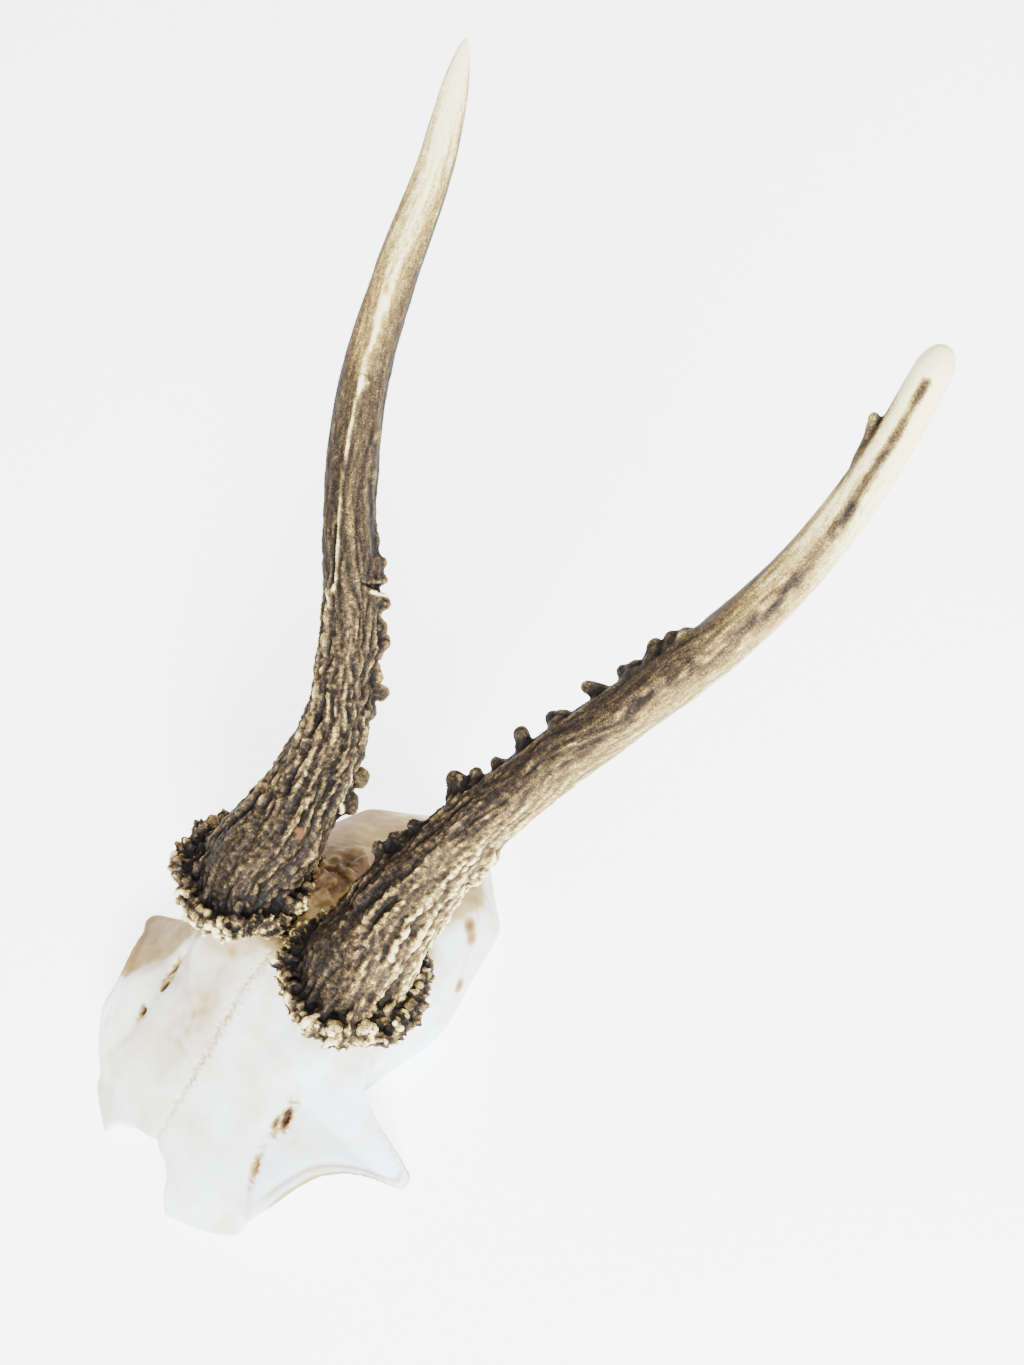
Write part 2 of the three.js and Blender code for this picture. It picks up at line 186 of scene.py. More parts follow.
def newObject(name, bm):
    mesh = bpy.data.meshes.new(name)
    bm.to_mesh(mesh)
    bm.free()
    made = bpy.data.objects.new(name, mesh)
    bpy.context.scene.collection.objects.link(made)
    return made


def applyModifiers(made):
    bpy.context.view_layer.update()
    done = made.evaluated_get(bpy.context.evaluated_depsgraph_get())
    old = made.data
    made.data = bpy.data.meshes.new_from_object(done)
    made.modifiers.clear()
    bpy.data.meshes.remove(old)


def combine(made, others, operation):
    for other in others:
        change = made.modifiers.new(operation, "BOOLEAN")
        change.operation = operation
        change.solver = "MANIFOLD"
        change.object = other
    applyModifiers(made)
    for other in others:
        bpy.data.objects.remove(other)


def joined(name, meshes):
    # separate closed bodies gathered in one mesh
    bm = bmesh.new()
    for part in meshes:
        holder = bpy.data.meshes.new(name)
        part.to_mesh(holder)
        part.free()
        bm.from_mesh(holder)
        bpy.data.meshes.remove(holder)
    return newObject(name, bm)


def remesh(made, voxel):
    change = made.modifiers.new("Remesh", "REMESH")
    change.mode = "VOXEL"
    change.voxel_size = voxel
    change.use_smooth_shade = True
    applyModifiers(made)


def relax(bm, verts, rounds, factor=0.5):
    for _ in range(rounds):
        bmesh.ops.smooth_vert(bm, verts=verts, factor=factor, use_axis_x=True, use_axis_y=True,
                              use_axis_z=True)


def storeRelief(bm, layer, depth, rounds=14):
    # how far each vertex stands above the smoothed surface round it, -1 to 1
    shape = [vert.co.copy() for vert in bm.verts]
    bm.normal_update()
    normals = [vert.normal.copy() for vert in bm.verts]
    relax(bm, bm.verts[:], rounds, 0.6)
    for vert, co, normal in zip(bm.verts, shape, normals):
        vert[layer] = min(max((co - vert.co).dot(normal) / depth, -1), 1)
        vert.co = co


def ball(bm, centre, size, level=2):
    bmesh.ops.create_icosphere(bm, subdivisions=level, radius=size, matrix=Matrix.Translation(centre))


def pearl(bm, centre, outward, up, long, wide):
    # a lump drawn out along one direction
    outward, up = outward.normalized(), up.normalized()
    axes = Matrix((outward * long, up.cross(outward).normalized() * wide, up * wide)).transposed().to_4x4()
    bmesh.ops.create_icosphere(bm, subdivisions=2, radius=1, matrix=Matrix.Translation(centre) @ axes)


def tube(bm, around, along, place):
    # a closed tube: the rows of a ball become stations along it
    made = bmesh.ops.create_uvsphere(bm, u_segments=around, v_segments=along, radius=1)
    for vert in made["verts"]:
        even = math.asin(min(max(vert.co.z, -1), 1)) / math.pi + 0.5
        vert.co = place(even, math.atan2(vert.co.x, vert.co.y))


def slab(name, columns, rows, place):
    # a closed slab of a fine grid, its upper and lower faces placed by formula
    bm = bmesh.new()
    bmesh.ops.create_grid(bm, x_segments=columns, y_segments=rows, size=1)
    lid = bmesh.ops.extrude_face_region(bm, geom=bm.faces[:])
    lidVerts = [v for v in lid["geom"] if isinstance(v, bmesh.types.BMVert)]
    bmesh.ops.translate(bm, verts=lidVerts, vec=(0, 0, 1))
    for vert in bm.verts:
        vert.co = place(vert.co.x, vert.co.y, vert.co.z > 0.5)
    bmesh.ops.recalc_face_normals(bm, faces=bm.faces[:])
    return newObject(name, bm)


def finishPiece(made, node, material):
    made.data.transform(Matrix.Translation(skullPlace) @ Matrix.Scale(millimetre, 4))
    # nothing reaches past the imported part's box
    for vert in made.data.vertices:
        vert.co = [min(max(a, low), high) for a, low, high in zip(vert.co, *cadBox)]
    made.data.materials.clear()
    made.data.materials.append(material)
    made.data.shade_smooth()
    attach(made, "root")
    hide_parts(node)
    triangles = sum(len(p.vertices) - 2 for p in made.data.polygons)
    print(f"{made.name}: {triangles} triangles")


skullLow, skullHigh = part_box("skull_cap")
skullPlace = Vector(((skullLow.x + skullHigh.x) / 2, skullLow.y - skull["front"] * millimetre, 0))


# Skull cap

skullAt = curvesOf(skull)


def plateHeight(x, y):
    # the outer surface of the forehead at a point seen from above
    half = skullAt["plateHalf"](y)
    share = min(abs(x) / half, 1)
    top = skullAt["crown"](y)
    edge = skullAt["plateEdge"](y)
    groove = 1.2 * (1 - smooth(-26, -10, y)) * bell(abs(x) - 27.5, 4.4)
    inset = smooth(0, 7, half - abs(x))
    return top - (top - edge) * share ** skullAt["plateBend"](y) - groove * inset


def platePoint(u, v, upper):
    y = skull["front"] + (skull["plateBack"] - skull["front"]) * (v + 1) / 2
    x = u * skullAt["plateHalf"](y)
    top = plateHeight(x, y)
    core = skull["plateCore"] * smooth(-14, -2, y)
    thick = skull["plateThick"] * (1 - 0.25 * abs(u)) + core
    return Vector((x, y, top if upper else top - thick))


def caseShape(front, back, inset, underBurrs, floor):
    # the braincase and the walls between the orbits, drawn in all round by inset
    def place(u, v, upper):
        y = front + (back - front) * (v + 1) / 2
        station = y * skull["back"] / (skull["back"] - inset) if y > 0 else y
        half = max(skullAt["caseHalf"](station) - inset, 0.8)
        square = skullAt["caseSquare"](y)
        underPlate = skull["underPlate"] * (1 - smooth(-8, 4, y))
        low = underBurrs * bell(y - 14, 18)
        top = max(skullAt["crown"](station) - inset - underPlate - low, 1)
        side = math.sin(u * math.pi / 2)
        z = top * max(1 - abs(side) ** square, 0) ** (1 / max(square, 2))
        return Vector((half * side, y, z if upper else floor))
    return place


def notchCutter():
    bm = bmesh.new()
    outline = [bm.verts.new((x, y, -2 * skull["saw"])) for x, y in skull["notch"]]
    bm.faces.new(outline)
    lid = bmesh.ops.extrude_face_region(bm, geom=bm.faces[:])
    lidVerts = [v for v in lid["geom"] if isinstance(v, bmesh.types.BMVert)]
    bmesh.ops.translate(bm, verts=lidVerts, vec=(0, 0, 50))
    bmesh.ops.recalc_face_normals(bm, faces=bm.faces[:])
    return newObject("notchCutter", bm)


def burrPoint(side, a, b, c):
    # across, down the slope of the forehead, and out of the burr's face
    lean = math.radians(burr["lean"])
    x, y, z = burr["centre"]
    return Vector((side * (x + a), y - b * math.cos(lean) + c * math.sin(lean),
                   z + b * math.sin(lean) + c * math.cos(lean)))


def burrReach(angle, side):
    return 1 + 0.03 * math.sin(5 * angle + side) + 0.02 * math.sin(9 * angle - 2 * side)


def burrBody(bm, side, grow=0, around=120, rows=40):
    def place(even, angle):
        lift = math.pi * (even - 0.5)
        reach = max(math.cos(lift), 0) ** 0.55 * burrReach(angle, side)
        dish = burr["dish"] * bell(reach - 0.72, 0.13) if lift > 0 else 0
        return burrPoint(side, math.cos(angle) * reach * (burr["across"] + grow),
                         math.sin(angle) * reach * (burr["deep"] + grow),
                         math.sin(lift) * (burr["thick"] + grow) * (1 - dish))
    tube(bm, around, rows, place)


def seatCutter(side):
    bm = bmesh.new()
    burrBody(bm, side, burr["seatGap"])
    bmesh.ops.recalc_face_normals(bm, faces=bm.faces[:])
    return newObject("seatCutter", bm)


def pedicleBody(side):
    bm = bmesh.new()
    made = bmesh.ops.create_cone(bm, cap_ends=True, segments=72, radius1=1, radius2=1, depth=1)
    for vert in made["verts"]:
        level = 0.5 - vert.co.z
        swell = level * (pedicle["foot"] - pedicle["across"])
        vert.co = burrPoint(side, vert.co.x * (pedicle["across"] + swell),
                            vert.co.y * (pedicle["deep"] + swell), -level * pedicle["down"])
    bmesh.ops.recalc_face_normals(bm, faces=bm.faces[:])
    return newObject("pedicle", bm)


spongy = {
    "lumps": 110,
    "from": 0,
    "to": 32,
    "side": -4,
    "spread": 4,
    "size": [0.8, 2.3],
    "pile": 4.5,
}


def spongyBone():
    # rough bone that has grown up between the burrs and behind them
    bm = bmesh.new()
    pick = random.Random(4)
    for _ in range(spongy["lumps"]):
        y = pick.uniform(spongy["from"], spongy["to"])
        x = pick.gauss(spongy["side"], spongy["spread"])
        size = pick.uniform(*spongy["size"])
        pile = spongy["pile"] * bell(y - 19, 11) * bell(x + 5, 6)
        ball(bm, (x, y, skullAt["crown"](y) - 0.5 * size - 0.02 * x * x + pile * pick.uniform(0, 1)), size)
    return newObject("spongyBone", bm)


suture = {
    "line": [[-60, 0], [-45, -0.5], [-34, -0.8], [-25, -1.5], [-13, -2.2], [0, -1]],
    "zig": 0.9,
    "pitch": 1.5,
    "wander": 0.6,
    "end": 14,
    "deep": 0.4,
    "stain": 0.07,
    "roughBeside": 0.5,
}
sutureLine = curve(suture["line"])


def sutureSide(y):
    # how far the frontal suture wanders off the midline
    zig = suture["zig"] * smooth(-52, -36, y) + 0.35
    wander = sutureLine(y) + noise.noise(Vector((0, y * 0.12, 3.1))) * suture["wander"]
    wander += noise.noise(Vector((3, y * 0.45, 1)))
    phase = y / suture["pitch"] + 0.8 * noise.noise(Vector((7, y * 0.4, 0)))
    tooth = abs((phase % 1) * 2 - 1) * 2 - 1
    return wander + zig * tooth * (0.7 + 0.5 * noise.noise(Vector((2, y * 0.55, 9))))


# Brown marks on the side wall of the braincase.
sideMarks = [(25.2, 38.4, 14.9), (26.4, 36, 12.5), (32.3, 24.7, 7.7)]

# The bone's low relief, heights in millimetres, and how strongly each feature is stained, with a painted
# shadow line along the inside of each orbit rim.
boneSurface = {
    "swell": 0.22,
    "ripple": 0.07,
    "grain": 0.045,
    "pores": 0.03,
    "holeHalo": 0.14,
    "lineStain": 0.4,
    "seamLevel": 7.5,
    "seamDepth": 0.28,
    "lowSeamDepth": 0.15,
    "seamStain": 0.05,
    "moundLumps": 0.8,
    "moundCrumbs": 0.6,
    "moundStain": 0.4,
    "markStain": 0.6,
    "markSize": 1.6,
    "orbitRim": 0.4,
    "orbitGroove": 0.3,
    "orbitShadowLine": 0.1,
    "edgeStain": 0.25,
}
# How strong each broad stain is, and each patch of painted shade mixed with stain, behind the left crest and
# on the back.
broadStainsAndShade = {
    "besideSuture": 0.09,
    "leftFront": 0.05,
    "stainAndShadeBehindCrest": 0.24,
    "back": 0.3,
    "roundBurrs": 0.05,
    "spongyBone": 0.42,
}


def nearLine(line, x, y):
    best = 9
    for (ax, ay), (bx, by) in zip(line["path"], line["path"][1:]):
        qx, qy = bx - ax, by - ay
        t = min(max(((x - ax) * qx + (y - ay) * qy) / (qx * qx + qy * qy), 0), 1)
        best = min(best, math.hypot(x - ax - t * qx, y - ay - t * qy))
    return bell(best, line["width"])


def sutureRelief(x, y):
    away = abs(x - sutureSide(y))
    near = smooth(suture["end"], suture["end"] - 4, y)
    band = bell(x - sutureLine(y), 3.2) * smooth(-58, -40, y)
    ripple = noise.noise(Vector((x * 0.9, y * 0.9, 4)))
    height = near * (suture["roughBeside"] * band * ripple - suture["deep"] * bell(away, 0.45))
    stain = near * (suture["stain"] * bell(away, 0.6) + band * (0.02 + 0.1 * max(-ripple, 0)))
    return height, stain


def foramenRelief(hole, co):
    turn = math.radians(hole["turn"])
    dx, dy = co.x - hole["x"], co.y - hole["y"]
    if max(abs(dx), abs(dy)) > 9:
        return 0, 0
    long = (dx * math.cos(turn) + dy * math.sin(turn)) / (hole["long"] / 2)
    wide = (dy * math.cos(turn) - dx * math.sin(turn)) / (hole["wide"] / 2)
    far = math.hypot(long, wide)
    patchy = max(0.6 + 1.6 * noise.noise(co * 0.8), 0)
    stain = hole["stain"] * (1 - smooth(0.5, 1.2, far))
    stain += boneSurface["holeHalo"] * patchy * bell(max(far - 1, 0), 1.3)
    return -hole["deep"] * (1 - smooth(0.45, 1.15, far)), stain


def boneRelief(co, normal):
    # height in millimetres and brown stain at a point of the bone's surface
    x, y, z = co
    surface = boneSurface
    edge = skullAt["plateHalf"](y) - abs(x)
    height = surface["swell"] * noise.noise(co * 0.075) + surface["ripple"] * noise.noise(co * 0.31)
    height += surface["grain"] * noise.noise(Vector((x * 1.5, y * 0.55, z * 1.5)))
    height += surface["pores"] * noise.noise(co * 1.9)
    stain = 0
    found = []
    if normal.z > 0.1 and y < 14:
        found.append(sutureRelief(x, y))
    if normal.z > 0.2:
        found += [foramenRelief(hole, co) for hole in foramina]
    if normal.z > 0 and y < 0:
        for line in boneLines:
            on = nearLine(line, x, y)
            found.append((line["height"] * on, surface["lineStain"] * line["stain"] * on))
    if abs(normal.z) < 0.75 and z < 22 and -8 < y < 46:
        # the seam between the braincase's side plate and its roof, low on the wall
        level = surface["seamLevel"] + 1.6 * noise.noise(Vector((y * 0.1, 5, 1))) + 0.12 * y
        dip = surface["seamDepth"] * bell(z - level, 0.5)
        dip += surface["lowSeamDepth"] * bell(z - level + 3.2, 0.6)
        found.append((-dip, surface["seamStain"] * bell(z - level, 0.7)))
    if -12 < y < 40 and abs(x) < 20 and z > 28:
        # spongy bone between the burrs
        mound = bell(x + 4, 8) * bell(y - 18, 14)
        lumps = surface["moundLumps"] * billow(x * 0.42, y * 0.42, z * 0.42)
        crumbs = surface["moundCrumbs"] * noise.noise(co * 1.1)
        pits = surface["moundStain"] * max(noise.noise(co * 0.8), 0)
        found.append((mound * (lumps + crumbs), mound * pits))
    for mark in sideMarks:
        found.append((0, surface["markStain"] * bell((co - Vector(mark)).length, surface["markSize"])))
    if normal.z > 0 and y < -16:
        orbit = smooth(-56, -46, y) * smooth(-15, -20, y)
        rim = surface["orbitRim"] * bell(edge - 0.8, 1.0) - surface["orbitGroove"] * bell(edge - 3.6, 1.3)
        # painted shadow: a brown line in the groove inside each orbit rim's lip
        dark = surface["orbitShadowLine"] * bell(edge - 2.6, 0.7)
        dark += surface["edgeStain"] * bell(edge, 0.7) * smooth(30, 40, x)
        found.append((orbit * rim, orbit * dark))
    for rise, dark in found:
        height += rise
        stain += dark
    return height, stain


def stainAndShadeAt(co, normal):
    # broad brown and yellow stains beside the suture and on the spongy bone; painted shade mixed with tan
    # stain on the slope behind the left crest and on the back of the cap; darker under and round the foot of
    # each burr
    x, y, z = co
    patchy = 0.85 + 0.5 * noise.noise(co * 0.1) + 0.35 * noise.noise(co * 0.35)
    stain = broadStainsAndShade["besideSuture"] * bell(x + 9.5, 6) * bell(y + 31, 14)
    stain += broadStainsAndShade["leftFront"] * bell(x + 14, 9) * smooth(-58, -44, y) * (y < 0)
    beyond = -x - 28.6 - 0.527 * (-20 - y)
    reach = smooth(-42, -35, y) * (1 - smooth(8, 24, y)) * smooth(-0.4, 0.2, normal.z)
    # painted shade mixed with stain: tan on the slope beyond the left crest, which faces away from the light
    stain += broadStainsAndShade["stainAndShadeBehindCrest"] * smooth(-1.5, 5, beyond) * reach
    # painted shade mixed with stain: tan on the back of the cap where it faces away from the light on the
    # animal's left
    stain += broadStainsAndShade["back"] * smooth(10, 20, y) * smooth(4, 16, z) * smooth(0.8, 0.4, normal.x)
    # darker under each burr and in a narrow ring round its foot
    for side in (-1, 1):
        toBurr = math.hypot(x - side * burr["centre"][0], y - burr["centre"][1])
        stain += broadStainsAndShade["roundBurrs"] * bell(max(toBurr - burr["across"], 0), 1.6) * smooth(10, 26, z)
    stain += broadStainsAndShade["spongyBone"] * bell(x + 4, 8) * smooth(-6, 4, y) * (1 - smooth(26, 38, y))
    return stain * min(max(patchy, 0.3), 1.3)


def buildSkull():
    case = slab("skullCap", 110, 150, caseShape(skull["front"] + 6, skull["back"], 0, 0, -skull["saw"]))
    combine(case, [slab("plate", 130, 130, platePoint), pedicleBody(1), pedicleBody(-1)], "UNION")
    deep = -2 * skull["saw"]
    brain = slab("brain", 80, 90, caseShape(-20, skull["back"] - skull["wall"], skull["wall"], 6, deep))
    nose = slab("nose", 60, 60, caseShape(-84, -24, skull["wall"], 0, deep))
    combine(case, [brain, nose, notchCutter(), seatCutter(1), seatCutter(-1)], "DIFFERENCE")
    bm = bmesh.new()
    bm.from_mesh(case.data)
    lumps = spongyBone()
    bm.from_mesh(lumps.data)
    bpy.data.objects.remove(lumps)
    bm.to_mesh(case.data)
    bm.free()
    remesh(case, skull["voxel"])
    bm = bmesh.new()
    bm.from_mesh(case.data)
    relax(bm, bm.verts[:], 3)
    bm.normal_update()
    stainAndShadeLayer = bm.verts.layers.float.new("stain")
    moves = []
    for vert in bm.verts:
        height, stain = boneRelief(vert.co, vert.normal)
        # the stain attribute holds real stains and painted shade
        vert[stainAndShadeLayer] = stain + stainAndShadeAt(vert.co, vert.normal)
        moves.append((vert, vert.normal * height))
    for vert, move in moves:
        vert.co += move
    whole = bm.verts[:] + bm.edges[:] + bm.faces[:]
    cut = bmesh.ops.bisect_plane(bm, geom=whole, plane_co=(0, 0, 0), plane_no=(0, 0, -1), clear_outer=True)
    rim = [e for e in cut["geom_cut"] if isinstance(e, bmesh.types.BMEdge)]
    bmesh.ops.triangle_fill(bm, edges=rim, use_beauty=True, normal=(0, 0, -1))
    bm.to_mesh(case.data)
    bm.free()
    return case


# Antlers. A line runs from inside the burr to the tip; widths are [share of length, width].
# Angle 0 faces up and forward, 90 faces the animal's left.

antlers = {
    "antler_left": {
        "side": 1,
        "rimPale": 0.62,
        "flake": None,
        # lines on the beam: [share, degrees] points, half width, height, lightness and how broken up
        "lines": [
            [[[0.8, 22], [0.86, 13], [0.92, 14], [0.965, 16]], 1.1, -0.2, -0.42, 0.35],
            [[[0.68, 28], [0.75, 26], [0.83, 20]], 1.8, -0.1, -0.16, 1],
            [[[0.6, 32], [0.66, 24], [0.74, 26]], 2, -0.1, -0.16, 1.2],
            [[[0.84, -74], [0.93, -74]], 2.4, 0, -0.45, 0.2],
            [[[0.26, 8], [0.36, 14], [0.42, 12], [0.5, 18], [0.6, 10]], 2.4, -0.2, -0.22, 1.2],
            [[[0.12, -48], [0.2, -44], [0.34, -46], [0.5, -52], [0.62, -56]], 1.3, 0.5, 0.05, 1],
            [[[0.12, -60], [0.34, -58], [0.6, -64]], 1.4, -0.5, -0.08, 0.6],
        ],
        "line": [[20.9, 4, 39.5], [21, 11.5, 46], [21.5, 30.6, 55], [26.8, 53, 67.4],
                 [36, 73.9, 81.4], [46.4, 93.9, 95.9], [56.8, 113.7, 110.5], [64, 133.6, 126.3],
                 [67.4, 152.8, 143.8], [68, 170.7, 163.2]],
        "widths": [[0, 29], [0.06, 27], [0.12, 23.4], [0.2, 19], [0.3, 16.2], [0.4, 15],
                   [0.5, 14], [0.6, 12.8], [0.7, 11.6], [0.8, 10.2], [0.9, 9], [0.96, 8.2],
                   [1, 7.6]],
        "round": 0.03,
        # share, angle, height, width
        "knobs": [[0.155, -68, 4.6, 5], [0.19, -72, 4.4, 4.6], [0.215, -66, 3.8, 4.2],
                  [0.272, -75, 5.4, 5.4], [0.292, -80, 3.4, 4.4], [0.335, -74, 2.4, 3.6],
                  [0.372, -77, 4.4, 4], [0.428, -78, 3.6, 4.6], [0.49, -78, 4.4, 3.8],
                  [0.535, -78, 2.8, 4.4], [0.56, -78, 3.4, 4.6], [0.585, -77, 2.6, 4.4],
                  [0.605, -76, 1.6, 4], [0.225, 104, 2.6, 5], [0.25, 96, 1.6, 4]],
        "spur": {"at": 0.86, "angle": -74, "length": 10.5, "width": 5.2},
        "rough": [[0, 1], [0.22, 0.85], [0.36, 0.4], [0.55, 0.24], [0.7, 0.14], [1, 0.05]],
        # lightness by angle, as [share, lightness] pairs: 0 black, 0.4 brown, 1 ivory
        "tones": {
            -75: [[0, 0.15], [0.2, 0.16], [0.5, 0.16], [0.6, 0.22], [0.7, 0.38], [0.8, 0.6],
                  [0.9, 0.82], [1, 0.95]],
            -18: [[0, 0.2], [0.1, 0.22], [0.3, 0.22], [0.5, 0.26], [0.6, 0.36], [0.68, 0.6],
                  [0.8, 0.85], [1, 1]],
            12: [[0, 0.3], [0.1, 0.42], [0.2, 0.5], [0.4, 0.54], [0.5, 0.55], [0.6, 0.62],
                 [0.8, 0.78], [0.97, 0.95]],
            55: [[0, 0.5], [0.1, 0.6], [0.3, 0.66], [0.4, 0.64], [0.6, 0.7], [0.7, 0.7],
                 [0.8, 0.88], [1, 1]],
            105: [[0, 0.55], [0.2, 0.7], [0.6, 0.74], [0.7, 0.82], [1, 1]],
            195: [[0, 0.3], [0.3, 0.4], [0.6, 0.5], [0.8, 0.8], [1, 0.98]],
        },
    },
    "antler_right": {
        "side": -1,
        "rimPale": 0.54,
        "flake": {"share": 0.114, "angle": 52, "size": 1.6, "ragged": 1.2},  # a chip of rusty crust
        "lines": [
            [[[0.393, 6], [0.45, 14], [0.55, 24], [0.63, 31]], 0.5, 0.55, 0.27, 0.7],
            [[[0.62, 30], [0.72, 33]], 1.3, 0.2, 0.12, 0.8],
            [[[0.405, 0], [0.43, 4], [0.465, 9]], 0.4, -0.55, -0.25, 0.6],
            [[[0.4, 66], [0.3965, 92]], 0.3, -0.6, -0.3, 0],
            [[[0.397, 92], [0.392, 134]], 0.62, -1.6, -0.5, 0],
            # painted highlight: a pale line along the lower lip of the crack
            [[[0.391, 86], [0.385, 132]], 0.55, 0.5, 0.5, 0.5],
            [[[0.41, 92], [0.44, 100], [0.5, 96]], 3.2, -0.5, -0.08, 1],
            [[[0.252, 96], [0.2, 98], [0.16, 96], [0.145, 106]], 0.5, 0.9, 0.5, 0.5],
            [[[0.25, 112], [0.2, 114], [0.15, 112]], 2.2, 0.8, -0.1, 0.3],
            [[[0.14, 40], [0.25, 44], [0.38, 52]], 1.0, 0.4, 0.1, 1.2],
            [[[0.12, -20], [0.25, -14], [0.39, -6]], 1.0, 0.6, 0.15, 1],
        ],
        "line": [[-20.8, 4, 39.2], [-20.6, 11.6, 45.8], [-20.3, 30.9, 54.8], [-25.2, 53.8, 67.8],
                 [-35.8, 73.8, 83], [-49.1, 92.4, 98.5], [-59.6, 112.9, 114.1],
                 [-65.4, 135.4, 129.9], [-67.6, 157.3, 147.3], [-70.3, 176.8, 168.9]],
        "widths": [[0, 29], [0.06, 27], [0.12, 23], [0.18, 18.6], [0.25, 15.6], [0.35, 14.6],
                   [0.5, 13.7], [0.6, 12.9], [0.7, 11.7], [0.8, 10.4], [0.9, 8.4], [0.95, 6.6],
                   [1, 1.6]],
        "round": 0.012,
        "knobs": [[0.15, 122, 3.8, 5], [0.178, 124, 4, 4.4], [0.215, 124, 2.6, 4.4],
                  [0.258, 127, 2.4, 4.4], [0.278, 128, 5, 4.6], [0.3, 128, 2.6, 4],
                  [0.325, 128, 4.2, 4], [0.352, 129, 3.2, 3.8], [0.372, 129, 3.6, 4],
                  [0.386, 129, 3.8, 4.6], [0.402, 129, 3.1, 4.6], [0.413, 128, 2.4, 3.8],
                  [0.423, 128, 1.8, 3.4], [0.433, 128, 1.3, 3], [0.443, 128, 0.9, 2.4],
                  [0.453, 128, 0.6, 2], [0.463, 128, 0.3, 1.6], [0.568, 91, 0.9, 2.2],
                  [0.523, 92, 0.9, 2.2], [0.626, 43, 0.5, 1.8], [0.391, 4, 0.8, 2]],
        "spur": None,
        "rough": [[0, 1], [0.3, 1], [0.4, 0.7], [0.5, 0.4], [0.7, 0.2], [1, 0.05]],
        "tones": {
            -55: [[0, 0.2], [0.2, 0.28], [0.4, 0.24], [0.5, 0.24], [0.62, 0.3], [0.7, 0.45],
                  [0.9, 0.7], [1, 0.85]],
            -10: [[0, 0.22], [0.2, 0.32], [0.4, 0.26], [0.5, 0.24], [0.6, 0.36], [0.7, 0.6],
                  [0.9, 0.8], [1, 0.9]],
            35: [[0, 0.28], [0.2, 0.36], [0.4, 0.38], [0.5, 0.36], [0.6, 0.46], [0.66, 0.7],
                 [0.75, 0.86], [1, 0.95]],
            80: [[0, 0.25], [0.2, 0.34], [0.5, 0.34], [0.6, 0.34], [0.7, 0.48], [0.8, 0.62],
                 [0.9, 0.8], [1, 0.9]],
            125: [[0, 0.15], [0.2, 0.2], [0.35, 0.3], [0.5, 0.22], [0.7, 0.22], [0.8, 0.28],
                  [0.9, 0.55], [1, 0.8]],
            215: [[0, 0.22], [0.3, 0.32], [0.6, 0.38], [0.8, 0.6], [1, 0.8]],
        },
    },
}
antlerVoxel = 0.46
stationCount = 500


def splinePath(points, steps):
    # a smooth path through the points, up to but without the last one
    path = []
    for i in range(len(points) - 1):
        before, after = points[max(i - 1, 0)], points[min(i + 2, len(points) - 1)]
        path += geometry.interpolate_bezier(
            points[i], points[i] + (points[i + 1] - before) / 6,
            points[i + 1] - (after - points[i]) / 6, points[i + 1], steps)[:-1]
    return path


def beamStations(spec):
    points = [Vector(p) for p in spec["line"]]
    path = splinePath(points, 80) + [points[-1]]
    reach = [0]
    for a, b in zip(path, path[1:]):
        reach.append(reach[-1] + (b - a).length)
    stations, k = [], 0
    for i in range(stationCount + 1):
        at = reach[-1] * i / stationCount
        while k < len(reach) - 2 and reach[k + 1] < at:
            k += 1
        centre = path[k].lerp(path[k + 1], (at - reach[k]) / (reach[k + 1] - reach[k]))
        along = (path[k + 1] - path[k]).normalized()
        front = Vector((0, -0.6, 0.8))
        front = (front - along * front.dot(along)).normalized()
        stations.append((centre, along, front, along.cross(front)))
    tree = kdtree.KDTree(len(stations))
    for i, station in enumerate(stations):
        tree.insert(station[0], i)
    tree.balance()
    tones = sorted((degrees, curve(pairs)) for degrees, pairs in spec["tones"].items())
    return {"stations": stations, "tree": tree, "length": reach[-1], "tones": tones,
            "width": curve(spec["widths"]), "rough": curve(spec["rough"])}


def stationAt(beam, share):
    return beam["stations"][round(min(max(share, 0), 1) * stationCount)]


def beamPoint(beam, share, angle, reach):
    centre, along, front, left = stationAt(beam, share)
    return centre + (front * math.cos(angle) + left * math.sin(angle)) * reach


def flowAt(beam, co):
    # where a point lies on its antler: share of the length, angle round it, distance from its line
    i = beam["tree"].find(co)[1]
    centre, along, front, left = beam["stations"][i]
    offset = co - centre
    ahead = offset.dot(along)
    out = offset - along * ahead
    return i / stationCount + ahead / beam["length"], math.atan2(out.dot(left), out.dot(front)), out.length


def beamBody(bm, spec, beam):
    def place(even, angle):
        tipStart = 1 - 1.6 * spec["round"]
        share = even / 0.9 * tipStart if even < 0.9 else tipStart + (even - 0.9) / 0.1 * (1 - tipStart)
        end = max((share - (1 - spec["round"])) / spec["round"], 0)
        reach = beam["width"](share) / 2 * math.sqrt(max(1 - end * end, 0))
        return beamPoint(beam, share, angle, 0 if even < 0.001 else reach)
    tube(bm, 64, 420, place)


def peg(bm, root, tip, rootSize, tipSize):
    steps = 12
    for i in range(steps + 1):
        t = i / steps
        ball(bm, root.lerp(tip, t), rootSize + (tipSize - rootSize) * smooth(0, 0.7, t))


def facePoint(spec, angle, share, lift):
    # a point over the burr's face: share 0 at its middle, 1 at its rim
    flat = min(share, 1) ** (1 / 0.55)
    dish = burr["dish"] * bell(share - 0.72, 0.13)
    height = burr["thick"] * math.sqrt(max(1 - flat * flat, 0)) * (1 - dish)
    a = math.sin(angle) * spec["side"] * burr["across"] * share
    b = math.cos(angle) * burr["deep"] * share
    return burrPoint(spec["side"], a, b, height + lift)


